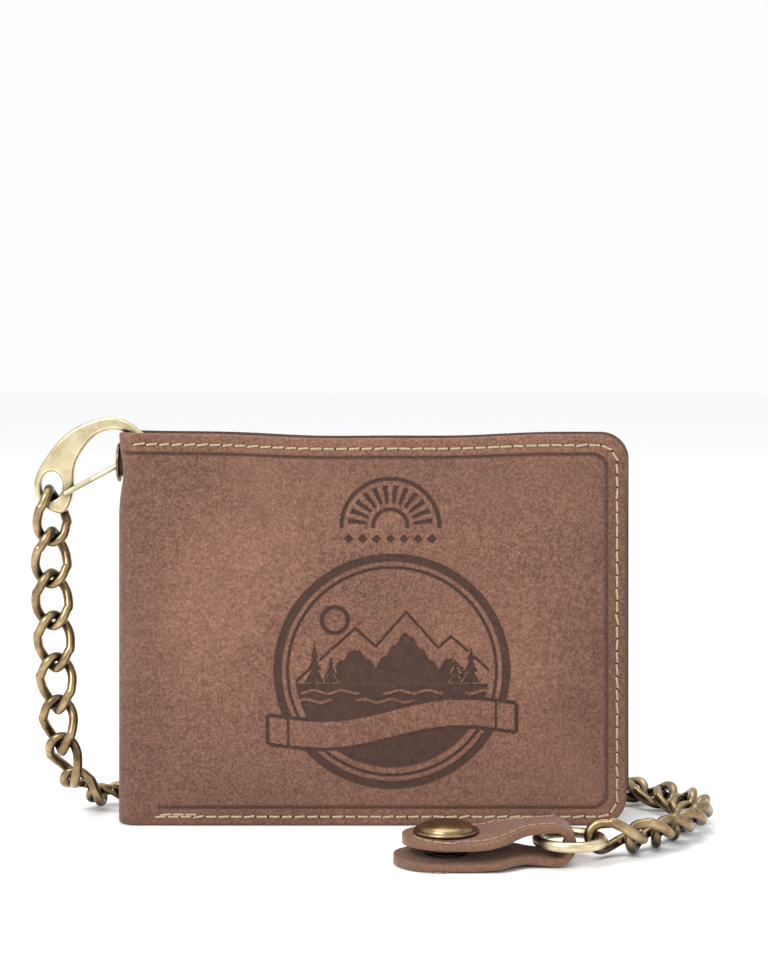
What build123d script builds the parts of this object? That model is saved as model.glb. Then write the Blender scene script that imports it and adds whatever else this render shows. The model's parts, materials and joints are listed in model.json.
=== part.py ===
from build123d import *
import os
from math import atan2, cos, degrees, pi, radians, sin, sqrt

# Chain wallet. Millimetres. X runs along the wallet, Y away from its front, Z up.
# The origin is the middle of the wallet's bottom edge, where it stands.

# wallet
SPINE_X = -63.0
FRONT_X = 62.5
BACK_X = 65.0
HEIGHT = 96.5
SPINE_HEIGHT = 95.7
HALF_T = 9.5
LEATHER = 1.6
FOLD_R = 5.0
CORNER_R = 7.0
FOLD_CORNER_R = 2.6
SPINE_HALF_Y = 4.3
LINING = 0.5
INNER_X = -50.0
INNER_Z = 5.0

# layers inside, as distances from the middle plane
BILL_DIVIDER_Y = 5.6
BILL_DIVIDER_T = 0.8
CARD_BACKING_Y = 4.3
CARD_BACKING_T = 0.9
POCKET_T = 0.8
POCKET_TOPS = (82.0, 72.0, 62.0, 52.0)
POUCH_BACK_Y = -6.3
POUCH_T = 0.8
POUCH_FRONT_Y = -3.6
POUCH_TOP = 70.0
FLAP_Y = -2.7
FLAP_BOTTOM = 48.0
FLAP_TOP = 84.0
SNAP_Z = 56.0
SNAP_X = 5.0

# eyelet through the top of the spine
EYELET_Z = 88.75
EYELET_BORE_R = 3.15
EYELET_BARREL_R = 3.6
EYELET_RIM_R = 4.9
RIM_T = 0.6

# carabiner, a flat plate in the XZ plane
PLATE_T = 3.6
PLATE_EDGE = 0.9
EYE_EDGE = 0.7
PLATE_OUTLINE = (
    (-78.2, 76.0),
    (-82.4, 78.3),
    (-84.35, 82.6),
    (-81.7, 89.6),
    (-75.35, 96.6),
    (-70.25, 99.15),
    (-65.8, 100.1),
    (-61.0, 98.8),
    (-56.9, 95.6),
    (-54.8, 91.6),
    (-55.6, 89.2),
    (-57.4, 89.6),
    (-58.1, 92.6),
    (-59.9, 95.3),
    (-62.6, 96.6),
    (-65.8, 96.75),
    (-69.0, 95.5),
    (-72.15, 92.1),
    (-74.1, 88.3),
    (-74.6, 84.6),
    (-74.9, 80.2),
)
GATE_WIRE = 1.35
GATE_PIVOT = (-76.35, 81.1)
GATE_TIP = (-57.98, 91.07)
GATE_BAND = 1.35

# chain
WIRE = 2.35
LINK_L = 15.7
LINK_W = 10.4
LINK_TWIST = 102.0
LINK_A = (LINK_L - WIRE) / 2
LINK_B = (LINK_W - WIRE) / 2
LINKS = 31
FLAT_Z = 3.6
HANG_ROLL = (-47.0, -140.0)
HANG_LINKS = 7
HANG_PITCH = 10.5
TAUT_LINKS = 5
END_ROLL = 45.0
END_LINKS = 8
CHAIN_ROUTE = (
    (-80.3, 0, 75.4),
    (-80.3, 0, 64.2),
    (-80.0, 0, 52.8),
    (-79.4, 0, 42.2),
    (-78.8, 0, 31.6),
    (-78.2, 0.3, 22.0),
    (-76.4, 2.2, 13.0),
    (-72.3, 6.3, 6.4),
    (-65.8, 11.6, FLAT_Z),
    (-57.0, 15.4, FLAT_Z),
    (-46.0, 17.0, FLAT_Z),
    (-10.0, 18.0, FLAT_Z),
    (30.0, 19.0, FLAT_Z),
    (46.0, 20.0, FLAT_Z),
    (58.0, 19.4, FLAT_Z),
    (69.0, 14.3, FLAT_Z),
    (76.4, 5.0, FLAT_Z),
    (78.8, -6.5, 3.8),
    (76.6, -18.0, 4.0),
    (71.4, -28.5, 4.2),
    (64.5, -37.2, 4.5),
    (56.0, -42.6, 5.2),
)

# ring and belt tab
RING_R = 7.4
RING_WIRE = 2.4
RING_C = (45.2, -46.0, 5.2)
TAB_Y = -46.0
TAB_W = 20.0
TAB_T = 2.3
NECK_W = 11.0
NECK_X = 33.0
TAB_END_X = 5.0
FLAP_END_X = 7.0
FOLD_C = (41.5, 5.0)
FOLD_OUT = 4.9
TAB_SNAP_X = 17.0
FLAP_FLAT_Z = 4.6
FLAT_END_X = 24.5
FLAP_RISE_LOW = (35.0, 7.2)
FLAP_RISE_HIGH = (34.3, 9.4)
STRAP_LIFT = 0.9
RIVET_R = 1.6
CAP_R = 7.5


def link_frames():
    """Centre, long axis and width axis of every link, spaced along the route."""
    route = Spline(*CHAIN_ROUTE, tangents=[(0.08, 0, -1), (-0.95, -0.3, 0.1)])
    taut = HANG_PITCH * TAUT_LINKS
    slack_pitch = (route.length - taut) / (LINKS - 1 - TAUT_LINKS)
    frames = []
    for i in range(LINKS):
        at = HANG_PITCH * min(i, TAUT_LINKS) + slack_pitch * max(0, i - TAUT_LINKS)
        centre = route.position_at(at, position_mode=PositionMode.LENGTH)
        along = route.tangent_at(at, position_mode=PositionMode.LENGTH)
        first, last = HANG_ROLL
        roll = radians(first + (last - first) * min(i, HANG_LINKS) / HANG_LINKS)
        if i < HANG_LINKS:
            width = Vector(-sin(roll), cos(roll), 0)
        else:
            share = max(0, i - (LINKS - 1 - END_LINKS)) / END_LINKS
            level = Vector(0, 0, 1).cross(along)
            width = level.rotate(Axis((0, 0, 0), tuple(along)), END_ROLL * share)
        frames.append((centre, along, width))
    return frames


def make_link():
    """One twisted curb link about the origin, its length on X and its width on Y."""

    def point(phi):
        x = LINK_A * cos(phi)
        y = LINK_B * sin(phi)
        turn = radians(LINK_TWIST) / 2 * x / LINK_A
        return Vector(x, y * cos(turn), y * sin(turn))

    def direction(phi):
        return (point(phi + 1e-4) - point(phi - 1e-4)).normalized()

    link = None
    for start in (pi / 2, 3 * pi / 2):
        points = [point(start + pi * i / 8) for i in range(9)]
        path = Edge.make_spline(points, tangents=[direction(start), direction(start + pi)])
        section = Plane(origin=path @ 0, z_dir=path % 0) * Circle(WIRE / 2)
        half = sweep(section, path=Wire([path]))
        link = half if link is None else link + half
    return link


def box(x, y, z):
    """A box from three (low, high) pairs."""
    size = (x[1] - x[0], y[1] - y[0], z[1] - z[0])
    return Pos((x[0] + x[1]) / 2, (y[0] + y[1]) / 2, (z[0] + z[1]) / 2) * Box(*size)


def upright(x, z, corners):
    """A panel outline in the XZ plane; corners are radii at bottom-left, bottom-right, top-right, top-left."""
    (x0, x1), (z0, z1) = x, z
    spots = ((x0, z0), (x1, z0), (x1, z1), (x0, z1))
    outline = make_face(Polyline(*spots, close=True))
    for spot, radius in zip(spots, corners):
        if radius:
            vertex = outline.vertices().sort_by_distance(Vector(*spot, 0))[0]
            outline = fillet(vertex, radius)
    return outline


def panel(x, y, z, corners):
    """A flat panel standing upright, from y[0] to y[1]."""
    face = Plane.XZ.offset(-y[1]) * upright(x, z, corners)
    return extrude(face, amount=y[1] - y[0])


def disc(x, y, z, radius, hole=0.0):
    """A washer on a Y axis, from y[0] to y[1]."""
    plane = Plane(origin=(x, y[0], z), z_dir=(0, 1, 0))
    ring = plane * Circle(radius)
    if hole:
        ring = ring - plane * Circle(hole)
    return extrude(ring, amount=y[1] - y[0])


def cover(side, far_x, corner_top_left):
    """One outer cover with the quarter round that turns into the spine; side is -1 front, 1 back."""
    outer = side * HALF_T
    inner = side * (HALF_T - LEATHER)
    bend = Vector(SPINE_X + FOLD_R, side * (HALF_T - FOLD_R))
    inner_r = FOLD_R - LEATHER
    diagonal = sqrt(0.5)
    outline = [
        Line((far_x, inner), (bend.X, inner)),
        ThreePointArc(
            (bend.X, inner),
            (bend.X - inner_r * diagonal, bend.Y + side * inner_r * diagonal),
            (bend.X - inner_r, bend.Y),
        ),
        Line((bend.X - inner_r, bend.Y), (SPINE_X, bend.Y)),
        ThreePointArc(
            (SPINE_X, bend.Y),
            (bend.X - FOLD_R * diagonal, bend.Y + side * FOLD_R * diagonal),
            (bend.X, outer),
        ),
        Line((bend.X, outer), (far_x, outer)),
        Line((far_x, outer), (far_x, inner)),
    ]
    solid = extrude(make_face(outline), amount=HEIGHT)
    trim = panel(
        (SPINE_X - 1, far_x),
        (-HALF_T - 1, HALF_T + 1),
        (0, HEIGHT),
        (FOLD_CORNER_R, CORNER_R, CORNER_R, corner_top_left),
    )
    return solid & trim


def wallet_nodes():
    nodes = {}
    nodes["front_cover"] = cover(-1, FRONT_X, 2.0)
    nodes["back_cover"] = cover(1, BACK_X, 2.0)

    spine = box((SPINE_X, SPINE_X + LEATHER), (-SPINE_HALF_Y, SPINE_HALF_Y), (0.6, SPINE_HEIGHT))
    barrel_hole = Pos(SPINE_X, 0, EYELET_Z) * Rot(Y=90) * Cylinder(EYELET_BARREL_R, 8)
    nodes["spine"] = spine - barrel_hole

    barrel = Plane(origin=(SPINE_X - RIM_T, 0, EYELET_Z), z_dir=(1, 0, 0))
    length = LEATHER + 2 * RIM_T
    rim = extrude(barrel * Circle(EYELET_RIM_R), amount=RIM_T)
    tube = extrude(barrel * Circle(EYELET_BARREL_R), amount=length)
    bore = extrude(barrel * Circle(EYELET_BORE_R), amount=length)
    rim = fillet(rim.edges().filter_by(GeomType.CIRCLE).sort_by(Axis.X)[0], 0.4)
    nodes["spine_eyelet"] = rim + tube - bore
    inside = Plane(origin=(SPINE_X + LEATHER, 0, EYELET_Z), z_dir=(1, 0, 0))
    washer = inside * Circle(EYELET_RIM_R - 0.8) - inside * Circle(EYELET_BARREL_R)
    nodes["spine_eyelet_washer"] = extrude(washer, amount=RIM_T)

    top = HEIGHT - 3
    face_in = HALF_T - LEATHER
    rounded = (1.5, 5.0, 5.0, 1.5)
    nodes["back_lining"] = panel(
        (-56, BACK_X - 4), (face_in - LINING, face_in), (3, top), rounded
    )
    nodes["front_lining"] = panel(
        (-56, FRONT_X - 4), (-face_in, -face_in + LINING), (3, top), rounded
    )
    nodes["bill_divider"] = panel(
        (INNER_X, BACK_X - 6),
        (BILL_DIVIDER_Y, BILL_DIVIDER_Y + BILL_DIVIDER_T),
        (INNER_Z, 88),
        rounded,
    )
    nodes["card_backing"] = panel(
        (INNER_X, BACK_X - 5),
        (CARD_BACKING_Y, CARD_BACKING_Y + CARD_BACKING_T),
        (INNER_Z, 90),
        rounded,
    )
    for i, pocket_top in enumerate(POCKET_TOPS):
        y_high = CARD_BACKING_Y - POCKET_T * i
        nodes[f"card_pocket_{i + 1}"] = panel(
            (INNER_X + 2, BACK_X - 7),
            (y_high - POCKET_T, y_high),
            (INNER_Z, pocket_top),
            (1.5, 4.0, 2.0, 2.0),
        )

    # a raised hem along the top of the pouch back carries the flap
    hem = box((INNER_X + 3, FRONT_X - 9), (POUCH_BACK_Y, FLAP_Y), (FLAP_TOP - 6, FLAP_TOP))
    nodes["coin_pouch_back"] = hem + panel(
        (INNER_X, FRONT_X - 5), (POUCH_BACK_Y, POUCH_BACK_Y + POUCH_T), (INNER_Z, 88), rounded
    )
    # the pouch front is a shallow tray, its rim closed against the pouch back
    y_rim = POUCH_BACK_Y + POUCH_T
    tray = panel(
        (INNER_X + 3, FRONT_X - 9),
        (y_rim, POUCH_FRONT_Y + POUCH_T),
        (INNER_Z + 2, POUCH_TOP),
        (3.0, 3.0, 3.0, 3.0),
    )
    hollow = box(
        (INNER_X + 4.2, FRONT_X - 10.2), (y_rim - 1, POUCH_FRONT_Y), (INNER_Z + 3.2, POUCH_TOP + 1)
    )
    snap_hole = disc(SNAP_X, (POUCH_FRONT_Y - 1, POUCH_FRONT_Y + 3), SNAP_Z, 1.5)
    nodes["coin_pouch_front"] = tray - hollow - snap_hole
    flap = panel(
        (INNER_X + 3, FRONT_X - 9),
        (FLAP_Y, FLAP_Y + POUCH_T),
        (FLAP_BOTTOM, FLAP_TOP),
        (10.0, 10.0, 2.0, 2.0),
    )
    flap_hole = disc(SNAP_X, (FLAP_Y - 1, FLAP_Y + 3), SNAP_Z, 1.5)
    nodes["coin_flap"] = flap - flap_hole
    cap = disc(SNAP_X, (FLAP_Y + POUCH_T, FLAP_Y + POUCH_T + 0.9), SNAP_Z, 5.0)
    nodes["coin_snap_cap"] = cap + disc(SNAP_X, (FLAP_Y, FLAP_Y + POUCH_T), SNAP_Z, 1.5)
    stud_y = POUCH_FRONT_Y - 0.6
    nodes["coin_snap_stud"] = disc(SNAP_X, (stud_y, POUCH_FRONT_Y), SNAP_Z, 4.0) + disc(
        SNAP_X, (POUCH_FRONT_Y, POUCH_FRONT_Y + POUCH_T), SNAP_Z, 1.5
    )
    return nodes


def carabiner_nodes():
    outline = make_face(Spline(*PLATE_OUTLINE, periodic=True))
    plate = extrude(Plane.XZ.offset(-PLATE_T / 2) * outline, amount=PLATE_T)
    flat_edges = plate.edges().filter_by(lambda e: abs(e.bounding_box().size.Y) < 0.01)
    plate = fillet(flat_edges, PLATE_EDGE)
    eye = Plane(origin=(-80.0, -PLATE_T, 83.0), x_dir=(1, 0, 0), z_dir=(0, 1, 0)) * Ellipse(2.75, 3.5)
    before = plate.edges()
    plate = plate - extrude(eye, amount=2 * PLATE_T)
    plate = fillet((plate.edges() - before).filter_by(lambda e: e.bounding_box().size.Y < 0.01), EYE_EDGE)
    px, pz = GATE_PIVOT
    pivot = Plane(origin=(px, -PLATE_T, pz), z_dir=(0, 1, 0)) * Circle(GATE_WIRE / 2 + 0.06)
    plate = plate - extrude(pivot, amount=2 * PLATE_T)

    # the gate is one wire: a pin through the plate and two arms that run to the nose and join there
    tx, tz = GATE_TIP
    run = sqrt((tx - px) ** 2 + (tz - pz) ** 2)
    y_arm = PLATE_T / 2 + GATE_WIRE / 2 + 0.1
    y_mid = (GATE_BAND + GATE_WIRE) / 2 - 0.35
    points = [
        (0, 0, -y_arm),
        (2.2, 0, -y_arm),
        (7.0, 0, -y_mid),
        (run - 1.2, 0, -y_mid),
    ]
    arms = [[Vector(x, side * y, z) for x, z, y in points] for side in (1, -1)]
    gate = None
    place = Pos(px, 0, pz) * Rot(Y=-degrees(atan2(tz - pz, tx - px)))
    for path in arms:
        for start, end in zip(path, path[1:]):
            rod = Edge.make_line(start, end)
            part = sweep(Plane(origin=start, z_dir=rod % 0) * Circle(GATE_WIRE / 2), path=Wire([rod]))
            part = part + Pos(end) * Sphere(GATE_WIRE / 2)
            gate = part if gate is None else gate + part
    low = Vector(0, -y_arm, 0)
    high = Vector(0, y_arm, 0)
    pin = Edge.make_line(low, high)
    gate = gate + sweep(Plane(origin=low, z_dir=pin % 0) * Circle(GATE_WIRE / 2), path=Wire([pin]))
    for end in (low, high):
        gate = gate + Pos(end) * Sphere(GATE_WIRE / 2)
    tip_low = Vector(run - 1.2, -y_mid, 0)
    tip_high = Vector(run - 1.2, y_mid, 0)
    bar = Edge.make_line(tip_low, tip_high)
    gate = gate + sweep(Plane(origin=tip_low, z_dir=bar % 0) * Circle(GATE_WIRE / 2), path=Wire([bar]))
    return {"carabiner_body": plate, "carabiner_gate": place * gate}


def chain_nodes():
    link = make_link()
    nodes = {}
    for i, (centre, along, width) in enumerate(link_frames()):
        plane = Plane(origin=centre, x_dir=along, z_dir=along.cross(width))
        nodes[f"chain_link_{i + 1:02d}"] = plane.location * link
    return nodes


def strap(x_end, bottom, flap):
    """One leaf of the belt tab: a bent strip cut to the tab's outline.

    x_end is its free end, bottom its underside's height and flap is True for the upper leaf.
    """
    cx, cz = FOLD_C
    fold_in = FOLD_OUT - TAB_T
    turn = 1 if flap else -1
    above = bottom + TAB_T
    if flap:
        low = [(x_end - 1, bottom), (FLAT_END_X + 0.5, bottom), FLAP_RISE_LOW, (cx, cz + fold_in)]
        high = [(x_end - 1, above), (FLAT_END_X, above), FLAP_RISE_HIGH, (cx, cz + FOLD_OUT)]
    else:
        lifted = bottom + STRAP_LIFT
        low = [(x_end - 1, bottom), (FLAT_END_X, bottom), (NECK_X, lifted), (cx, cz - FOLD_OUT)]
        high = [(x_end - 1, above), (FLAT_END_X, above), (NECK_X, lifted + TAB_T), (cx, cz - fold_in)]
    inner, outer = (low, high) if flap else (high, low)
    straight = [Line(inner[0], inner[1]), Line(outer[0], outer[1])]
    bends = [
        Spline(*inner[1:], tangents=[(1, 0), (1, 0)]),
        Spline(*outer[1:], tangents=[(1, 0), (1, 0)]),
    ]
    middle = sqrt(0.5)
    arcs = [
        ThreePointArc(inner[-1], (cx + fold_in * middle, cz + turn * fold_in * middle), (cx + fold_in, cz)),
        ThreePointArc(outer[-1], (cx + FOLD_OUT * middle, cz + turn * FOLD_OUT * middle), (cx + FOLD_OUT, cz)),
    ]
    ends = [Line(inner[0], outer[0]), Line((cx + fold_in, cz), (cx + FOLD_OUT, cz))]
    profile = make_face(straight + bends + arcs + ends)
    strip = extrude(Plane.XZ.offset(-TAB_Y - TAB_W / 2) * profile, amount=TAB_W)
    half, neck = TAB_W / 2, NECK_W / 2
    wide_to, neck_from, past_fold = NECK_X - 5, NECK_X + 3.5, 60.0
    sides = []
    for side in (-1, 1):
        wide_y, neck_y = TAB_Y + side * half, TAB_Y + side * neck
        sides += [
            Line((x_end + half, wide_y), (wide_to, wide_y)),
            Spline((wide_to, wide_y), (neck_from, neck_y), tangents=[(1, 0), (1, 0)]),
            Line((neck_from, neck_y), (past_fold, neck_y)),
        ]
    tip = ThreePointArc((x_end + half, TAB_Y - half), (x_end, TAB_Y), (x_end + half, TAB_Y + half))
    cut = Line((past_fold, TAB_Y - neck), (past_fold, TAB_Y + neck))
    leaf = strip & extrude(make_face([tip, cut, *sides]), amount=40)
    return leaf - Pos(TAB_SNAP_X, TAB_Y, bottom) * Cylinder(RIVET_R, 12)


def tab_nodes():
    nodes = {}
    nodes["tab_strap"] = strap(TAB_END_X, 0, False)
    nodes["tab_flap"] = strap(FLAP_END_X, FLAP_FLAT_Z, True)
    spot = Vector(TAB_SNAP_X, TAB_Y, 0)
    top = FLAP_FLAT_Z + TAB_T
    rise = 2.4
    ball_r = (CAP_R**2 + rise**2) / (2 * rise)
    dome = Pos(spot.X, spot.Y, top + 0.5 + rise - ball_r) * Sphere(ball_r)
    dome = dome & (Pos(spot.X, spot.Y, top + 0.5 + rise / 2) * Cylinder(CAP_R, rise))
    rim = Pos(spot.X, spot.Y, top + 0.25) * Cylinder(CAP_R, 0.5)
    post = Pos(spot.X, spot.Y, top - TAB_T / 2) * Cylinder(RIVET_R, TAB_T)
    nodes["tab_snap_cap"] = dome + rim + post
    socket = Pos(spot.X, spot.Y, FLAP_FLAT_Z - 0.5) * Cylinder(5.5, 1.0)
    nodes["tab_snap_socket"] = socket - Pos(spot.X, spot.Y, FLAP_FLAT_Z - 0.7) * Cylinder(2.6, 0.6)
    plate = Pos(spot.X, spot.Y, TAB_T + 0.3) * Cylinder(5.0, 0.6)
    button = Pos(spot.X, spot.Y, TAB_T + 0.95) * Cylinder(2.3, 0.7)
    stem = Pos(spot.X, spot.Y, 0.2 + TAB_T / 2) * Cylinder(RIVET_R, TAB_T - 0.2)
    nodes["tab_snap_stud"] = plate + button + stem
    nodes["o_ring"] = Pos(*RING_C) * Torus(RING_R, RING_WIRE / 2)
    return nodes


def main():
    os.makedirs("parts", exist_ok=True)
    nodes = {**wallet_nodes(), **carabiner_nodes(), **chain_nodes(), **tab_nodes()}
    for name, shape in nodes.items():
        export_step(Compound(children=list(shape.solids())), f"parts/{name}.step")


if __name__ == "__main__":
    main()
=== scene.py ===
import json

import bpy
import numpy as np
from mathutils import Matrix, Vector

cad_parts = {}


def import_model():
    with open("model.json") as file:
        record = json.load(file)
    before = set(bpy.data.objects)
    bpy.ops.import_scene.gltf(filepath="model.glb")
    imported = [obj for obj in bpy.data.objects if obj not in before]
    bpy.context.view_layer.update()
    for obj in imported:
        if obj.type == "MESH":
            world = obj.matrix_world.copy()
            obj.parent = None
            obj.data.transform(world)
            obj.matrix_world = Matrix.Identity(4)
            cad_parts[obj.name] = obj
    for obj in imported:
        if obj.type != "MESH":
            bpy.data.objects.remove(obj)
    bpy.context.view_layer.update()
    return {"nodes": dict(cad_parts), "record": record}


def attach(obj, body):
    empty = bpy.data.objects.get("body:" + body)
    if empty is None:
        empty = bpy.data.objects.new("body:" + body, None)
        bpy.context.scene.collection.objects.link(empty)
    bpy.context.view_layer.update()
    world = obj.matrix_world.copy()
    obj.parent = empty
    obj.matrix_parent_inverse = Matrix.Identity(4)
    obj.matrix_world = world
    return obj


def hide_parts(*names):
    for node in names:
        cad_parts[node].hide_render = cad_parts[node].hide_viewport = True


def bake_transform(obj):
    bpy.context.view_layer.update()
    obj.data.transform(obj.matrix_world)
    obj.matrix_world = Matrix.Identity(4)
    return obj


# All lengths below are millimetres in the row frame; MM turns them into metres.
MM = 0.001

# wallet
SPINE_X, FRONT_X, BACK_X = -63.0, 62.5, 65.0
HEIGHT, HALF_T, LEATHER, FOLD_R = 96.5, 9.5, 1.6, 5.0
CORNER_R, EDGE_R = 7.0, 0.75

# stitching and crease, as distances in from the cover's edges
STITCH_SIDE, STITCH_TOP, STITCH_BOTTOM = 2.4, 2.7, 2.2
STITCH_PITCH, STITCH_LONG, THREAD_R = 3.1, 2.35, 0.27
STITCH_START, SEAM_END, SEAM_R = -53.5, 4.2, 4.8
DOUBLE_X, DOUBLE_Z = 1.2, 0.55
HOLE_R = 0.3
CREASE_SIDE, CREASE_TOP, CREASE_BOTTOM, CREASE_R = 4.9, 5.0, 4.4, 3.6

# depths pressed or pulled into the leather
PRESS_DEEP, SEAM_DEEP = 0.4, 0.16
PINCH_Z, PINCH_DEEP = 86.5, 1.05
WRINKLE_X = -55.0

# emblem
EMBLEM_X, EMBLEM_Z = 4.9, 38.0
RING_OUT, RING_BAND, LINE_R, LINE_W = 29.0, 1.9, 25.6, 0.6
SHORE = -3.2
PINES = ((-19.0, -3.0, 9.5), (-15.0, -3.0, 6.6), (19.4, -3.0, 8.6), (15.6, -3.0, 6.0))
RIBBON_X, RIBBON_Z, RIBBON_W = 30.5, -13.0, 3.6
BADGE_X, BADGE_Z = 4.5, 74.0
FINE_X, FINE_Z = (-27.0, 37.0), (6.0, 87.0)

# belt tab
TAB_Y, TAB_W, TAB_T = -46.0, 20.0, 2.3
NECK_W, NECK_FROM, NECK_TO = 11.0, 28.0, 36.5
FOLD_X, FOLD_Z, FOLD_OUT = 41.5, 5.0, 4.9
SNAP_X, FLAP_Z, CAP_R = 17.0, 4.6, 7.5
TAB_END, FLAP_END = 5.0, 7.0
STRAP_SEAM, STRAP_PITCH, STRAP_LONG, STRAP_THREAD_R = 1.9, 2.2, 1.6, 0.2
GROOVE_FROM = 4.0

# studio; the camera's place is in metres
FLOOR_HALF = 6000.0
CAMERA_AT, CAMERA_LENS, CAMERA_SHIFT = (0.0029, -0.510, 0.115), 76.5, -0.128

# metal pieces that are handled most, and so are worn bright
PALE_NODES = ("carabiner_body", "carabiner_gate", "o_ring")


# ---------------------------------------------------------------- materials


def shader(name):
    """A new material, its node tree and its Principled node."""
    material = bpy.data.materials.new(name)
    material.use_nodes = True
    tree = material.node_tree
    return material, tree, tree.nodes["Principled BSDF"]


def noise(tree, coords, scale, detail=4.0, rough=0.55):
    """Noise from 0 to 1 in the object's own space."""
    node = tree.nodes.new("ShaderNodeTexNoise")
    node.inputs["Scale"].default_value = scale
    node.inputs["Detail"].default_value = detail
    node.inputs["Roughness"].default_value = rough
    tree.links.new(coords, node.inputs["Vector"])
    return node.outputs["Fac"]


def ramp(tree, value, low, high, colours):
    """A colour ramp between two positions, through two or more colours."""
    node = tree.nodes.new("ShaderNodeValToRGB")
    ends = node.color_ramp.elements
    while len(ends) < len(colours):
        ends.new(0.5)
    for i, colour in enumerate(colours):
        ends[i].position = low + (high - low) * i / (len(colours) - 1)
        ends[i].color = (*colour, 1.0)
    tree.links.new(value, node.inputs["Fac"])
    return node.outputs["Color"]


def mix(tree, amount, first, second, blend="MIX"):
    """Two colours mixed; each input is a socket, a colour or a number."""
    node = tree.nodes.new("ShaderNodeMix")
    node.data_type = "RGBA"
    node.blend_type = blend
    factor, colour_a, colour_b = (node.inputs[i] for i in (0, 6, 7))
    for socket, value in ((factor, amount), (colour_a, first), (colour_b, second)):
        if isinstance(value, bpy.types.NodeSocket):
            tree.links.new(value, socket)
        elif isinstance(value, tuple):
            socket.default_value = (*value, 1.0)
        else:
            socket.default_value = value
    return node.outputs[2]


def bump(tree, height, strength, distance, before=None):
    """A normal bent by height, on top of the normal in before when there is one."""
    node = tree.nodes.new("ShaderNodeBump")
    node.inputs["Strength"].default_value = strength
    node.inputs["Distance"].default_value = distance
    tree.links.new(height, node.inputs["Height"])
    if before is not None:
        tree.links.new(before, node.inputs["Normal"])
    return node.outputs["Normal"]


def object_coords(tree):
    return tree.nodes.new("ShaderNodeTexCoord").outputs["Object"]


def leather(name, dark, middle, light, roughness, pressed=None, grain=1.0):
    """Mottled nubuck; pressed is the colour of the places that the mesh attribute of that name marks."""
    material, tree, surface = shader(name)
    coords = object_coords(tree)
    clouds = noise(tree, coords, 24.0, 6.0, 0.6)
    speckle = noise(tree, coords, 1500.0, 3.0, 0.8)
    pores = noise(tree, coords, 430.0, 5.0, 0.75)
    base = ramp(tree, clouds, 0.3, 0.7, (dark, middle, light))
    colour = mix(tree, 0.62, base, ramp(tree, speckle, 0.38, 0.62, (dark, middle, light)))
    colour = mix(tree, 0.2, colour, ramp(tree, pores, 0.38, 0.62, (dark, light)))
    if pressed is not None:
        # on the cover these marks include painted shade round the spine's pinch and a top spared as painted
        # light
        mark = tree.nodes.new("ShaderNodeAttribute")
        mark.attribute_name = "pressed"
        worn = ramp(tree, pores, 0.3, 0.62, ((0.72, 0.72, 0.72), (1.0, 1.0, 1.0)))
        amount = mix(tree, 1.0, mark.outputs["Color"], worn, "MULTIPLY")
        colour = mix(tree, amount, colour, pressed)
    tree.links.new(colour, surface.inputs["Base Color"])
    surface.inputs["Roughness"].default_value = roughness
    surface.inputs["Specular IOR Level"].default_value = 0.3
    surface.inputs["Sheen Weight"].default_value = 0.12
    surface.inputs["Sheen Roughness"].default_value = 0.5
    fine = bump(tree, speckle, 0.35 * grain, 0.0003)
    tree.links.new(bump(tree, pores, 0.4 * grain, 0.0005, fine), surface.inputs["Normal"])
    return material


def antique_brass(name, dark, middle, light, reach):
    """Worn brass: bright where handled, near black in recesses up to reach metres across."""
    material, tree, surface = shader(name)
    coords = object_coords(tree)
    wear = noise(tree, coords, 210.0, 5.0, 0.6)
    metal = ramp(tree, wear, 0.3, 0.7, (dark, middle, light))
    recess = tree.nodes.new("ShaderNodeAmbientOcclusion")
    recess.samples = 6
    recess.inputs["Distance"].default_value = reach
    depth = ramp(tree, recess.outputs["AO"], 0.4, 0.92, ((0.0, 0.0, 0.0), (1.0, 1.0, 1.0)))
    colour = mix(tree, depth, (0.022, 0.016, 0.01), metal)
    tree.links.new(colour, surface.inputs["Base Color"])
    surface.inputs["Metallic"].default_value = 1.0
    scratches = noise(tree, coords, 900.0, 3.0, 0.6)
    rough = tree.nodes.new("ShaderNodeMapRange")
    rough.inputs["To Min"].default_value = 0.2
    rough.inputs["To Max"].default_value = 0.42
    tree.links.new(scratches, rough.inputs["Value"])
    tree.links.new(rough.outputs["Result"], surface.inputs["Roughness"])
    tree.links.new(bump(tree, wear, 0.12, 0.0003), surface.inputs["Normal"])
    return material


def thread_cloth():
    material, tree, surface = shader("thread")
    coords = object_coords(tree)
    fibres = noise(tree, coords, 2600.0, 2.0)
    tone = ramp(tree, fibres, 0.3, 0.7, ((0.27, 0.2, 0.12), (0.5, 0.4, 0.27)))
    tree.links.new(tone, surface.inputs["Base Color"])
    surface.inputs["Roughness"].default_value = 0.75
    tree.links.new(bump(tree, fibres, 0.4, 0.0002), surface.inputs["Normal"])
    return material


def plain(name, colour, roughness):
    material, _, surface = shader(name)
    surface.inputs["Base Color"].default_value = (*colour, 1.0)
    surface.inputs["Roughness"].default_value = roughness
    return material


# ---------------------------------------------------------------- meshes


def mesh_object(name, vertices, faces, material, smooth=True):
    """A mesh object from millimetre vertices."""
    mesh = bpy.data.meshes.new(name)
    mesh.from_pydata((np.asarray(vertices, float) * MM).tolist(), [], faces)
    mesh.update()
    mesh.polygons.foreach_set("use_smooth", [smooth] * len(mesh.polygons))
    obj = bpy.data.objects.new(name, mesh)
    bpy.context.scene.collection.objects.link(obj)
    mesh.materials.append(material)
    return obj


def grid_faces(rows, columns, wrap=False):
    """Quads of a row by column grid; wrap joins the last column to the first."""
    faces = []
    last = columns if wrap else columns - 1
    for r in range(rows - 1):
        for c in range(last):
            d = (c + 1) % columns
            low, high = r * columns, (r + 1) * columns
            faces.append((low + c, low + d, high + d, high + c))
    return faces


def merge(parts):
    """Vertices and faces of several (vertices, faces) pairs as one."""
    vertices, faces, start = [], [], 0
    for some, quads in parts:
        vertices.append(np.asarray(some, float))
        faces += [tuple(i + start for i in quad) for quad in quads]
        start += len(some)
    return np.concatenate(vertices), faces


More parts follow.
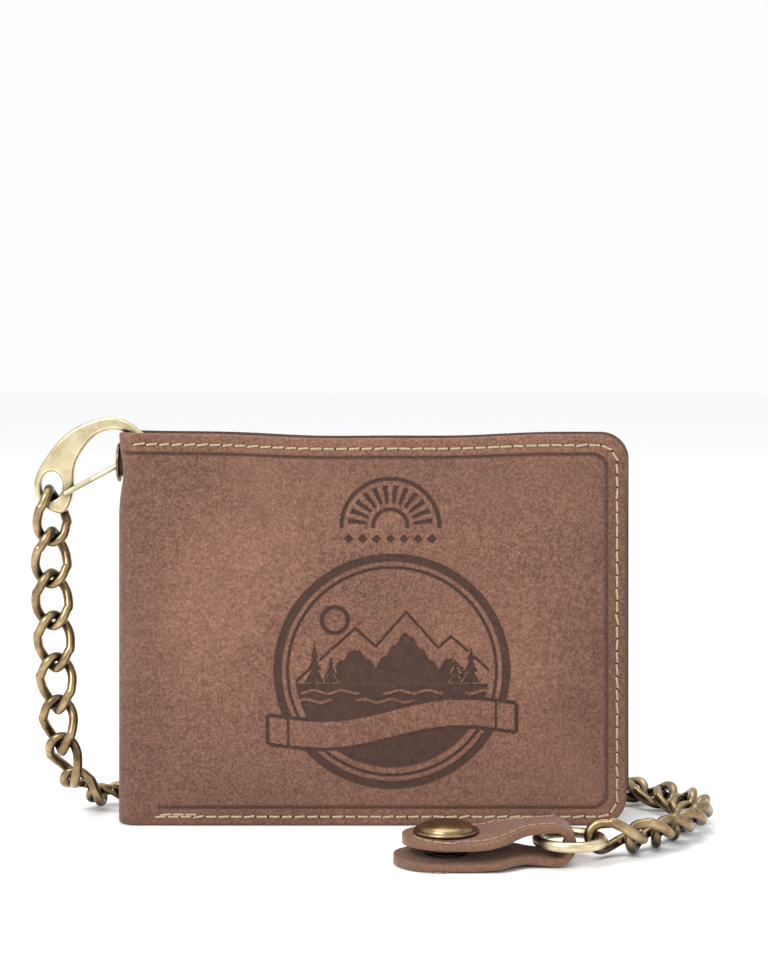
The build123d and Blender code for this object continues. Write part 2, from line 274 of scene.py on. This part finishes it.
def tube_faces(rows, sides):
    """Quads of a tube made of closed rings, with a face over each end."""
    faces = grid_faces(rows, sides, wrap=True)
    faces.append(tuple(reversed(range(sides))))
    faces.append(tuple(range((rows - 1) * sides, rows * sides)))
    return faces


def set_pressed(obj, values):
    """Give every vertex its share of the pressed colour."""
    layer = obj.data.attributes.new("pressed", "FLOAT", "POINT")
    layer.data.foreach_set("value", np.asarray(values).reshape(-1).astype(np.float32))


def run_lengths(points):
    """The length along a polyline at each of its points."""
    return np.concatenate(([0], np.cumsum(np.hypot(*np.diff(points, axis=0).T))))


def smoothstep(value, low, high):
    t = np.clip((value - low) / (high - low), 0, 1)
    return t * t * (3 - 2 * t)


def rounded_distance(x, z, x_range, z_range, radius):
    """Signed distance outside a rounded rectangle, negative inside."""
    cx, cz = sum(x_range) / 2, sum(z_range) / 2
    hx, hz = (x_range[1] - x_range[0]) / 2 - radius, (z_range[1] - z_range[0]) / 2 - radius
    dx, dz = np.abs(x - cx) - hx, np.abs(z - cz) - hz
    outside = np.hypot(np.maximum(dx, 0), np.maximum(dz, 0))
    return outside + np.minimum(np.maximum(dx, dz), 0) - radius


def line(distance, width, soft=0.12):
    """1 within width of a curve, falling to 0 over soft."""
    return 1 - smoothstep(np.abs(distance), width / 2, width / 2 + soft)


# ---------------------------------------------------------------- emblem


def ridge(x, peaks):
    """Height of a mountain skyline given as (x, height, half width) peaks."""
    height = np.full_like(x, -100.0)
    for at, top, half in peaks:
        height = np.maximum(height, top * (1 - np.abs(x - at) / half))
    return height


def pine(x, z, at, foot, tall):
    """1 inside a small three-tiered pine."""
    rise = (z - foot) / tall
    tier = 1 - np.mod(np.clip(rise, 0, 0.999) * 3, 1)
    half = tall * 0.26 * (1.05 - rise) * (0.45 + 0.55 * tier)
    body = (rise > 0.0) & (rise < 1) & (np.abs(x - at) < half)
    trunk = (rise > -0.16) & (rise <= 0.0) & (np.abs(x - at) < tall * 0.05)
    return (body | trunk).astype(float)


def emblem(x, z):
    """How deeply the front is pressed, 0 to 1: a ring with mountains, pines, water and a blank ribbon."""
    ex, ez = x - EMBLEM_X, z - EMBLEM_Z
    r = np.hypot(ex, ez)
    pressed = line(r - (RING_OUT - RING_BAND / 2), RING_BAND)
    pressed = np.maximum(pressed, line(r - LINE_R, LINE_W))
    inside = 1 - smoothstep(r, LINE_R - 1.9, LINE_R - 1.7)

    far = ridge(ex, ((-9.0, 13.5, 15.0), (3.5, 17.5, 15.5), (14.5, 11.5, 13.0))) - 3.0
    zigzag = 1.1 * np.abs(np.mod(ex / 2.6, 1) - 0.5) * 2
    above_shore = smoothstep(ez, SHORE - 0.1, SHORE + 0.1)
    snow = smoothstep(ez, far - 5.6 + zigzag, far - 5.3 + zigzag)
    hills = smoothstep(far - ez, 0.0, 0.15) * (1 - snow) * above_shore
    outline = line(ez - far, 0.7) * above_shore
    sun = line(np.hypot(ex + 14.0, ez - 12.5) - 3.2, 0.9) * smoothstep(ez, far + 0.8, far + 1.0)
    scene = np.maximum(np.maximum(hills, outline), sun)
    for at, foot, tall in PINES:
        scene = scene * (1 - pine(ex, ez, at, foot - 0.5, tall + 2.4))
        scene = np.maximum(scene, pine(ex, ez, at, foot, tall))

    # water: dark, with a few light wavy lines
    water = 1 - above_shore
    for i in range(2):
        wave = ez - SHORE + 2.0 + 2.2 * i - 0.4 * np.sin(ex * 0.9 + i * 1.7)
        water = water * (1 - line(wave, 0.5) * smoothstep(np.sin(ex * 0.31 + i * 2.1), -0.7, -0.5))
    pressed = np.maximum(pressed, inside * np.maximum(scene, water))

    # a blank waving ribbon with an outline, in front of the ring
    middle = RIBBON_Z + 1.8 * np.sin(ex * 0.11) + 0.06 * ex
    reach = smoothstep(RIBBON_X - np.abs(ex), 0.0, 0.2)
    band = smoothstep(RIBBON_W - np.abs(ez - middle), 0.0, 0.2) * reach
    border = line(np.abs(ez - middle) - RIBBON_W, 0.8) * reach
    ends = line(np.abs(ex) - RIBBON_X, 0.8) * smoothstep(RIBBON_W - np.abs(ez - middle), 0.0, 0.2)
    pleat = line(np.abs(ex) - RIBBON_X + 5.0, 0.5) * band
    return np.maximum(pressed * (1 - band), np.maximum(np.maximum(border, ends), pleat))


def badge(x, z):
    """A small generic arch of rays over a row of diamonds, above the ring."""
    bx, bz = x - BADGE_X, z - BADGE_Z
    r = np.hypot(bx, bz)
    upper = smoothstep(bz, -0.6, -0.4)
    pressed = upper * np.maximum(line(r - 12.0, 0.9), line(r - 4.2, 0.8))
    turn = np.mod(np.arctan2(bz, bx) / np.pi * 12, 1) - 0.5
    rays = (np.abs(turn) < 0.24) & (r > 5.8) & (r < 10.4)
    pressed = np.maximum(pressed, upper * rays)
    step = np.mod(bx / 3.4 + 0.5, 1) - 0.5
    diamonds = (np.abs(step) * 3.4 + np.abs(bz + 3.2) < 1.15) & (np.abs(bx) < 12.2)
    return np.maximum(pressed, diamonds.astype(float))


# ---------------------------------------------------------------- covers


def top_sag(x, right):
    """How far the soft top edge dips below full height."""
    share = np.clip((x - SPINE_X) / (right - SPINE_X), 0, 1)
    return 1.35 * np.sin(np.pi * share) ** 2 + 0.35 * share + 0.12 * np.sin(share * 21)


def lowered(x, z, right):
    """Heights after the top edge has dipped, which fades out toward the bottom."""
    return z - top_sag(x, right) * np.clip(z / HEIGHT, 0, 1) ** 4


def corner_cut(z):
    """How much shorter a cover is at each height than at its middle, for its rounded corners."""
    high = np.maximum(np.abs(z - HEIGHT / 2) - (HEIGHT / 2 - CORNER_R), 0)
    return CORNER_R - np.sqrt(np.maximum(CORNER_R**2 - high**2, 0))


def fold_path(run):
    """Point and outward normal on the leather's outer face at a signed run from the spine's middle line.

    Negative runs go to the front cover and positive ones to the back.
    """
    flat = HALF_T - FOLD_R
    bend = FOLD_R * np.pi / 2
    side = np.sign(run)
    far = np.abs(run)
    angle = np.clip((far - flat) / FOLD_R, 0, np.pi / 2)
    straight = np.maximum(far - flat - bend, 0)
    x = SPINE_X + FOLD_R * (1 - np.cos(angle)) + straight
    y = side * (np.minimum(far, flat) + FOLD_R * np.sin(angle))
    return x, y, -np.cos(angle), side * np.sin(angle)


def run_to(right):
    """The run of the leather's outer face from the spine's middle line to a cover's open edge."""
    return (HALF_T - FOLD_R) + FOLD_R * np.pi / 2 + (right - SPINE_X - FOLD_R)


def steps(edges, spans):
    """Grid positions: each (low, high, step) span filled evenly, with the given edge positions added."""
    found = list(edges)
    for low, high, step in spans:
        found += list(np.linspace(low, high, max(2, int(round((high - low) / step)) + 1)))
    return np.unique(np.round(found, 4))


def cover_skin(material):
    """The outer leather in one piece: front cover, spine and back cover, pressed, creased and darkened
    toward its edges, with painted shade round the spine's pinch and its top spared as painted light.
    """
    rim = (0.0, 0.06, 0.18, 0.36, 0.6, 0.8)
    front_end, back_end = run_to(FRONT_X), run_to(BACK_X)
    offset = front_end - FRONT_X
    edges = [-front_end + d for d in rim] + [back_end - d for d in rim]
    runs = steps(
        edges,
        (
            (-front_end + 0.8, -(FINE_X[1] + offset), 0.5),
            (-(FINE_X[1] + offset), -(FINE_X[0] + offset), 0.24),
            (-(FINE_X[0] + offset), -12.0, 0.6),
            (-12.0, 12.0, 0.4),
            (12.0, back_end - 8.0, 1.6),
            (back_end - 8.0, back_end - 0.8, 0.5),
        ),
    )
    levels = steps(
        list(rim) + [HEIGHT - d for d in rim],
        ((0.8, FINE_Z[0], 0.45), (*FINE_Z, 0.24), (FINE_Z[1], HEIGHT - 0.8, 0.4)),
    )
    runs = np.concatenate(([runs[0]], runs, [runs[-1]]))
    levels = np.concatenate(([levels[0]], levels, [levels[-1]]))
    run, z = np.meshgrid(runs, levels)

    # rounded outer corners: rows near top and bottom are shorter
    end = np.where(run < 0, front_end, back_end)
    inner = np.minimum(np.abs(run), HALF_T)
    beyond = np.maximum(np.abs(run) - HALF_T, 0) * (1 - corner_cut(z) / (end - HALF_T))
    run = np.sign(run) * (inner + beyond)
    x, y, nx, ny = fold_path(run)
    right = np.where(run < 0, FRONT_X, BACK_X)

    away = np.maximum(-rounded_distance(x - right, z, (-3 * BACK_X, 0), (0, HEIGHT), CORNER_R), 0)
    roll = EDGE_R - np.sqrt(np.maximum(EDGE_R**2 - np.maximum(EDGE_R - away, 0) ** 2, 0))
    depth = roll * 0.95

    front = smoothstep(-run, HALF_T, HALF_T + 2)
    back = smoothstep(run, HALF_T, HALF_T + 2)
    crease_box = ((-4 * BACK_X, -CREASE_SIDE), (CREASE_BOTTOM, HEIGHT - CREASE_TOP))
    crease_line = rounded_distance(x - right, z, *crease_box, CREASE_R)
    starts = smoothstep(x, STITCH_START, STITCH_START + 1.5)
    upper = smoothstep(z, HEIGHT / 2 - 5, HEIGHT / 2 + 5)
    faces = smoothstep(np.abs(run), 7.5, 9.0)
    crease = line(crease_line, 0.5, 0.45) * np.maximum(starts, upper) * faces
    seam_box = ((-4 * BACK_X, -STITCH_SIDE), (STITCH_BOTTOM, HEIGHT - STITCH_TOP))
    seam = line(rounded_distance(x - right, z, *seam_box, SEAM_R), 0.5, 0.5) * faces
    seam = seam * np.maximum(starts, upper)
    mark = np.maximum(emblem(x, z), badge(x, z)) * front
    depth = depth + PRESS_DEEP * crease + SEAM_DEEP * seam + PRESS_DEEP * mark

    # soft unevenness, and the pinch that the carabiner has pulled in the spine
    swell = 0.16 * np.sin(x * 0.09 + 0.6) * np.sin(z * 0.083 + 0.4) + 0.07 * np.sin(x * 0.31 + z * 0.17)
    swell = swell * smoothstep(away, 0, 9) * (front + back)
    depth = depth + 0.12 - swell * 0.7 - 0.1 * (front + back)
    spine = 1 - smoothstep(np.abs(run), 5, 12)
    depth = depth + PINCH_DEEP * spine * np.exp(-(((z - PINCH_Z) / 5.5) ** 2)) + 0.15 * spine
    wrinkle = 0.22 * np.sin(z * 1.15 + 0.6 * np.sin(z * 0.37))
    wrinkle = wrinkle * np.exp(-(((x - WRINKLE_X) / 4.2) ** 2))
    depth = depth + wrinkle * (front + back)

    # the outermost ring of the grid is the cut edge, a leather's thickness down
    rimmed = np.zeros_like(depth, bool)
    rimmed[[0, -1], :] = True
    rimmed[:, [0, -1]] = True
    depth[rimmed] = LEATHER - 0.05
    x = x - nx * depth
    y = y - ny * depth
    z = lowered(x, z, right)

    vertices = np.stack((x, y, z), axis=-1).reshape(-1, 3)
    skin = mesh_object("leather_cover", vertices, grid_faces(*x.shape), material)

    # darker where pressed, at the cut edges, in a band along the spine, sides and bottom, and round the
    # pinch; near the top the edge darkening is left off as painted light, and the pinch darkening is
    # painted shade
    # cut edges darker, but left light above about 80 mm as painted light on the top
    cut_edge_dark_top_lit = 0.6 * (1 - smoothstep(away, 0.25, 0.95)) * (1 - smoothstep(z, 80, 92))
    reach = 24 + 6 * np.sin(x * 0.11 + z * 0.07)
    # a darker band along the spine, sides and bottom, left off along the top as painted light
    edge_band_dark_top_lit = 0.26 * (1 - smoothstep(np.minimum(away, x - SPINE_X), 1, reach))
    edge_band_dark_top_lit = edge_band_dark_top_lit * (1 - 0.9 * smoothstep(z, HEIGHT - 9, HEIGHT - 4))
    # painted shade in the dent that the carabiner pulls in the spine
    pinch_shade = 0.4 * spine * np.exp(-(((z - 88) / 7) ** 2))
    pressed = np.clip(np.maximum(mark * 0.95, crease * 0.9), 0, 1)
    pressed = np.maximum(pressed, np.maximum(cut_edge_dark_top_lit, edge_band_dark_top_lit))
    set_pressed(skin, np.maximum(pressed, pinch_shade))
    return skin


def cover_back_face(name, material, side, right):
    """The inner face of one cover, seen when the wallet is open."""
    runs = side * steps((), ((0.4, HALF_T + 1, 0.6), (HALF_T + 1, run_to(right) - 0.1, 4.0)))
    corner = HEIGHT - CORNER_R
    levels = steps((), ((0.1, CORNER_R, 0.7), (CORNER_R, corner, 5.0), (corner, HEIGHT - 0.1, 0.7)))
    run, z = np.meshgrid(runs, levels)
    beyond = np.maximum(np.abs(run) - HALF_T, 0) * (1 - corner_cut(z) / (run_to(right) - HALF_T))
    run = side * (np.minimum(np.abs(run), HALF_T) + beyond)
    x, y, nx, ny = fold_path(run)
    x, y = x - nx * (LEATHER - 0.1), y - ny * (LEATHER - 0.1)
    z = lowered(x, z, right)
    vertices = np.stack((x, y, z), axis=-1).reshape(-1, 3)
    return mesh_object(name, vertices, grid_faces(*x.shape), material)


def capsule(start, end, radius, flat=1.0, sides=8):
    """A rounded rod between two points, closed at both ends."""
    start, end = Vector(start), Vector(end)
    along = (end - start).normalized()
    side = along.cross(Vector((0, 1, 0)))
    side = side.normalized() if side.length > 0.1 else along.cross(Vector((0, 0, 1))).normalized()
    up = side.cross(along)
    profile = ((-1.0, 0.05), (-0.72, 0.7), (0.0, 1.0), (1.0, 1.0), (1.72, 0.7), (2.0, 0.05))
    vertices = []
    for place, wide in profile:
        if place <= 0:
            centre = start + along * radius * place
        else:
            centre = end + along * radius * (place - 1)
        for i in range(sides):
            angle = 2 * np.pi * i / sides
            rim = side * np.cos(angle) + up * np.sin(angle) * flat
            vertices.append(tuple(centre + rim * radius * wide))
    return vertices, tube_faces(len(profile), sides)


def seam_route(right):
    """Points along a cover's stitch line, from the bottom at the spine round to the top at the spine."""
    x_in, z_low, z_high = right - STITCH_SIDE - SEAM_R, STITCH_BOTTOM, HEIGHT - STITCH_TOP
    turns = [np.pi / 2 * i / 8 for i in range(9)]
    points = [(STITCH_START, z_low), (x_in, z_low)]
    for angle in turns[1:]:
        points.append((x_in + SEAM_R * np.sin(angle), z_low + SEAM_R - SEAM_R * np.cos(angle)))
    for angle in turns:
        points.append((x_in + SEAM_R * np.cos(angle), z_high - SEAM_R + SEAM_R * np.sin(angle)))
    points.append((SPINE_X + SEAM_END, z_high))
    return np.array(points)


def walk(points, pitch):
    """Evenly spaced points and directions along a polyline."""
    total = run_lengths(points)
    count = int(total[-1] / pitch)
    places = (np.arange(count) + 0.5) * total[-1] / count
    x, z = (np.interp(places, total, points[:, i]) for i in (0, 1))
    ahead = [np.interp(places + 0.2, total, points[:, i]) for i in (0, 1)]
    angle = np.arctan2(ahead[1] - z, ahead[0] - x)
    return x, z, angle


def stitching(name, material, side, right):
    """A row of separate stitches round one cover, doubled where the seam starts."""
    parts = []
    rng = np.random.default_rng(7 if side < 0 else 11)
    for x, z, angle in zip(*walk(seam_route(right), STITCH_PITCH)):
        z = lowered(x, z, right)
        half = STITCH_LONG / 2 * (1 + 0.06 * rng.standard_normal())
        tilt = angle + 0.07 * rng.standard_normal() + 0.06
        dx, dz = half * np.cos(tilt), half * np.sin(tilt)
        y = side * (HALF_T - 0.04)
        low = y - side * 0.16
        middle = (x, y, z)
        ends = ((x - dx, low, z - dz), (x + dx, low, z + dz))
        parts.append(capsule(ends[0], middle, THREAD_R))
        parts.append(capsule(middle, ends[1], THREAD_R))
        if x < STITCH_START + 10 and z < 10:
            begin = (x - dx + DOUBLE_X, low, z - dz + DOUBLE_Z)
            finish = (x + dx + DOUBLE_X, y, z + dz + DOUBLE_Z)
            parts.append(capsule(begin, finish, THREAD_R))
    return mesh_object(name, *merge(parts), material)


def needle_holes(name, material, side, right):
    """Small dark dots between the stitches, painted shade standing for the needle holes."""
    y = side * (HALF_T + 0.02) - side * 0.12
    corners = np.arange(8) * np.pi / 4
    outward = tuple(range(8)) if side > 0 else tuple(reversed(range(8)))
    parts = []
    for cx, cz, turn in zip(*walk(seam_route(right), STITCH_PITCH)):
        x, z = cx + STITCH_PITCH / 2 * np.cos(turn), cz + STITCH_PITCH / 2 * np.sin(turn)
        z = lowered(x, z, right)
        ring = [(x + HOLE_R * np.cos(a), y, z + HOLE_R * np.sin(a)) for a in corners]
        parts.append((ring, [outward]))
    return mesh_object(name, *merge(parts), material, smooth=False)


# ---------------------------------------------------------------- belt tab


def leaf_line(flap):
    """The strap's middle line in X and Z for one leaf, from its free end to the middle of the fold."""
    middle = FOLD_OUT - TAB_T / 2
    if flap:
        knots = ((FLAP_END, FLAP_Z), (14, FLAP_Z), (24, FLAP_Z), (29.5, 5.65), (34.8, 7.05))
    else:
        knots = ((TAB_END, 0), (14, 0), (22, 0), (27, 0.25), (32.5, 0.85), (37, 0.5))
    points = [(x, z + TAB_T / 2) for x, z in knots]
    turn = 1 if flap else -1
    for i in range(9):
        angle = np.pi / 2 * (1 - i / 8)
        points.append((FOLD_X + middle * np.cos(angle), FOLD_Z + turn * middle * np.sin(angle)))
    return np.array(points)


def smooth_line(points, count):
    """A Catmull-Rom curve through points, evenly resampled."""
    padded = np.vstack((2 * points[0] - points[1], points, 2 * points[-1] - points[-2]))
    dense = []
    for i in range(len(points) - 1):
        a, b, c, d = padded[i : i + 4]
        square, cube = 2 * a - 5 * b + 4 * c - d, 3 * b - a - 3 * c + d
        for t in np.linspace(0, 1, 14, endpoint=False):
            dense.append(0.5 * (2 * b + (c - a) * t + square * t**2 + cube * t**3))
    dense = np.array(dense + [points[-1]])
    total = run_lengths(dense)
    places = np.linspace(0, total[-1], count)
    return np.stack([np.interp(places, total, dense[:, i]) for i in (0, 1)], axis=1)


def strap_half_width(x, tip):
    """Half the strap's width at x: a half round end, a straight run and a taper to the neck."""
    half, neck = TAB_W / 2, NECK_W / 2
    narrow = half + (neck - half) * smoothstep(x, NECK_FROM, NECK_TO)
    near = np.clip(x - tip, 0, half)
    return np.minimum(narrow, np.sqrt(np.maximum(half**2 - (half - near) ** 2, 0.02)))


def leaf_mesh(name, material, flap):
    """One leaf of the strap as a loft of rounded sections, with a pressed stitch groove on both faces."""
    line_xz = smooth_line(leaf_line(flap), 150)
    tip = FLAP_END if flap else TAB_END
    tangent = np.gradient(line_xz, axis=0)
    tangent /= np.hypot(*tangent.T)[:, None]
    normal = np.stack((-tangent[:, 1], tangent[:, 0]), axis=1)
    sides = 56
    angle = 2 * np.pi * np.arange(sides) / sides
    wide = np.sign(np.cos(angle)) * np.abs(np.cos(angle)) ** 0.22
    thick = np.sign(np.sin(angle)) * np.abs(np.sin(angle)) ** 0.55
    vertices, pressed = [], []
    for (x, z), (nx, nz) in zip(line_xz, normal):
        half = strap_half_width(min(x, FOLD_X), tip)
        across = half * wide
        inset = np.abs(half - np.abs(across))
        groove = line(inset - STRAP_SEAM, 0.35, 0.5) * (half > GROOVE_FROM)
        high = thick * TAB_T / 2
        high = high - np.sign(thick) * 0.22 * groove * (np.abs(thick) > 0.6)
        for a, h in zip(across, high):
            vertices.append((x + nx * h, TAB_Y + a, z + nz * h))
        pressed += list(0.35 * groove)
    leaf = mesh_object(name, vertices, tube_faces(len(line_xz), sides), material)
    set_pressed(leaf, pressed)
    return leaf


def strap_stitches(name, material, flap):
    """Tone-on-tone stitches along both edges of a leaf's outward face."""
    line_xz = smooth_line(leaf_line(flap), 400)
    tip = FLAP_END if flap else TAB_END
    turn = 1 if flap else -1
    total = run_lengths(line_xz)
    places = np.arange(2.6, total[-1] - 6, STRAP_PITCH)
    parts = []
    for side in (-1, 1):
        for at in places:
            ends = []
            for place in (at, at + STRAP_LONG):
                x, z = (np.interp(place, total, line_xz[:, i]) for i in (0, 1))
                x2, z2 = (np.interp(place + 0.3, total, line_xz[:, i]) for i in (0, 1))
                slope = np.hypot(x2 - x, z2 - z)
                nx, nz = -(z2 - z) / slope, (x2 - x) / slope
                straight = x > tip + TAB_W / 2 + STRAP_SEAM
                half = strap_half_width(x, tip + STRAP_SEAM) - (STRAP_SEAM if straight else 0.0)
                lift = turn * (TAB_T / 2 - 0.1)
                ends.append((x + nx * lift, TAB_Y + side * half, z + nz * lift))
            parts.append(capsule(*ends, STRAP_THREAD_R, sides=6))
    return mesh_object(name, *merge(parts), material)


def lathe(name, profile, centre, material, sides=96):
    """A solid of revolution about a Z axis from (radius, height) points."""
    x, y, z = centre
    vertices = []
    for radius, height in profile:
        for i in range(sides):
            angle = 2 * np.pi * i / sides
            vertices.append((x + radius * np.cos(angle), y + radius * np.sin(angle), z + height))
    faces = grid_faces(len(profile), sides, wrap=True)
    return mesh_object(name, vertices, faces, material)


def snap_cap(material):
    """The domed cap with its rolled rim."""
    dome_r, foot, rise = CAP_R - 1.05, 0.95, 1.9
    dome = [(dome_r, foot)]
    for i in range(1, 11):
        angle = i / 10 * np.pi / 2
        dome.append((dome_r * np.cos(angle), foot + rise * np.sin(angle)))
    rolled = ((0.4, 0.0), (0.0, 0.3), (0.1, 0.75), (0.45, 1.0), (0.85, 0.85))
    rim = [(CAP_R - inset, height) for inset, height in rolled]
    centre = (SNAP_X, TAB_Y, FLAP_Z + TAB_T)
    return lathe("snap_cap_dome", rim + dome, centre, material)


# ---------------------------------------------------------------- stage


def area_light(name, place, aim, size, power, colour=(1, 1, 1)):
    lamp = bpy.data.lights.new(name, "AREA")
    lamp.shape = "RECTANGLE"
    lamp.size, lamp.size_y = size
    lamp.energy = power
    lamp.color = colour
    obj = bpy.data.objects.new(name, lamp)
    obj.location = place
    obj.rotation_euler = (Vector(aim) - Vector(place)).to_track_quat("-Z", "Y").to_euler()
    bpy.context.scene.collection.objects.link(obj)


def studio():
    """A flat pale floor, soft lights and a camera in front of the wallet, a little above its top."""
    corners = [(x, y, -0.05) for y in (-FLOOR_HALF, FLOOR_HALF) for x in (-FLOOR_HALF, FLOOR_HALF)]
    floor = mesh_object("floor", corners, grid_faces(2, 2), plain("floor", (0.96, 0.96, 0.955), 0.6))

    area_light("key", (-0.5, -0.7, 0.75), (0, 0, 0.05), (0.5, 0.4), 7.5, (1.0, 0.985, 0.96))
    area_light("fill", (0.75, -0.6, 0.45), (0, 0, 0.04), (0.6, 0.6), 1.0, (0.97, 0.98, 1.0))
    area_light("top", (0.0, 0.1, 1.1), (0, 0, 0), (1.0, 0.8), 5.0)
    world = bpy.data.worlds.new("studio")
    world.use_nodes = True
    background = world.node_tree.nodes["Background"]
    background.inputs["Color"].default_value = (0.98, 0.985, 1.0, 1.0)
    background.inputs["Strength"].default_value = 1.0
    scene = bpy.context.scene
    scene.world = world
    scene.view_settings.view_transform = "Standard"

    camera = bpy.data.objects.new("camera", bpy.data.cameras.new("camera"))
    camera.location = CAMERA_AT
    camera.rotation_euler = (np.pi / 2, 0, 0)
    camera.data.lens = CAMERA_LENS
    camera.data.shift_y = CAMERA_SHIFT
    camera.data.clip_end = 20
    scene.collection.objects.link(camera)
    scene.camera = camera


# ---------------------------------------------------------------- build


def main():
    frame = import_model()
    nodes = frame["nodes"]

    brown = ((0.052, 0.022, 0.0145), (0.15, 0.067, 0.042), (0.3, 0.148, 0.096))
    strap_brown = ((0.075, 0.034, 0.019), (0.15, 0.07, 0.038), (0.225, 0.115, 0.066))
    # the cover's pressed colour also paints the shade round the spine's pinch
    cover = leather("cover_leather", *brown, 0.72, pressed=(0.03, 0.0135, 0.009))
    inside = leather("lining_leather", *[tuple(0.8 * c for c in tone) for tone in brown], 0.66)
    strap = leather("strap_leather", *strap_brown, 0.55, pressed=(0.06, 0.028, 0.02), grain=0.5)
    aged = ((0.13, 0.085, 0.042), (0.3, 0.21, 0.11), (0.47, 0.36, 0.2))
    worn = ((0.42, 0.35, 0.2), (0.6, 0.51, 0.32), (0.74, 0.65, 0.44))
    brass = antique_brass("antique_brass", *aged, 0.005)
    pale = antique_brass("pale_brass", *worn, 0.002)
    thread = thread_cloth()
    tone_thread = plain("tone_thread", (0.33, 0.2, 0.15), 0.7)
    # near-black dots of painted shade for the needle holes
    hole = plain("needle_hole_shade", (0.015, 0.009, 0.007), 0.9)

    slots = {part["node"]: part["material_slot"] for part in frame["record"]["subparts"]}
    looks = {
        "leather_brown": cover,
        "leather_strap": strap,
        "lining": inside,
        "antique_brass": brass,
        "thread": thread,
    }
    for name, node in nodes.items():
        node.data.materials.clear()
        node.data.materials.append(pale if name in PALE_NODES else looks[slots[name]])

    skin = cover_skin(cover)
    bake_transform(skin)
    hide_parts("front_cover", "back_cover", "spine")
    for side, body, right in ((-1, "front_half", FRONT_X), (1, "back_half", BACK_X)):
        label = "front" if side < 0 else "back"
        face = cover_back_face(f"{label}_cover_inner_face", inside, side, right)
        if side < 0:
            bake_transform(face)
        else:
            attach(face, body)
        seam = stitching(f"{label}_stitching", thread, side, right)
        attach(seam, body)
        holes = needle_holes(f"{label}_needle_holes", hole, side, right)
        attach(holes, body)

    for flap, body, node in ((False, "tab_base", "tab_strap"), (True, "tab_upper", "tab_flap")):
        leaf = leaf_mesh(f"{node}_leather", strap, flap)
        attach(leaf, body)
        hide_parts(node)
        stitches = strap_stitches(f"{node}_stitches", tone_thread, flap)
        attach(stitches, body)
    cap = snap_cap(brass)
    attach(cap, "tab_upper")
    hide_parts("tab_snap_cap")

    studio()
    bpy.context.view_layer.update()


main()
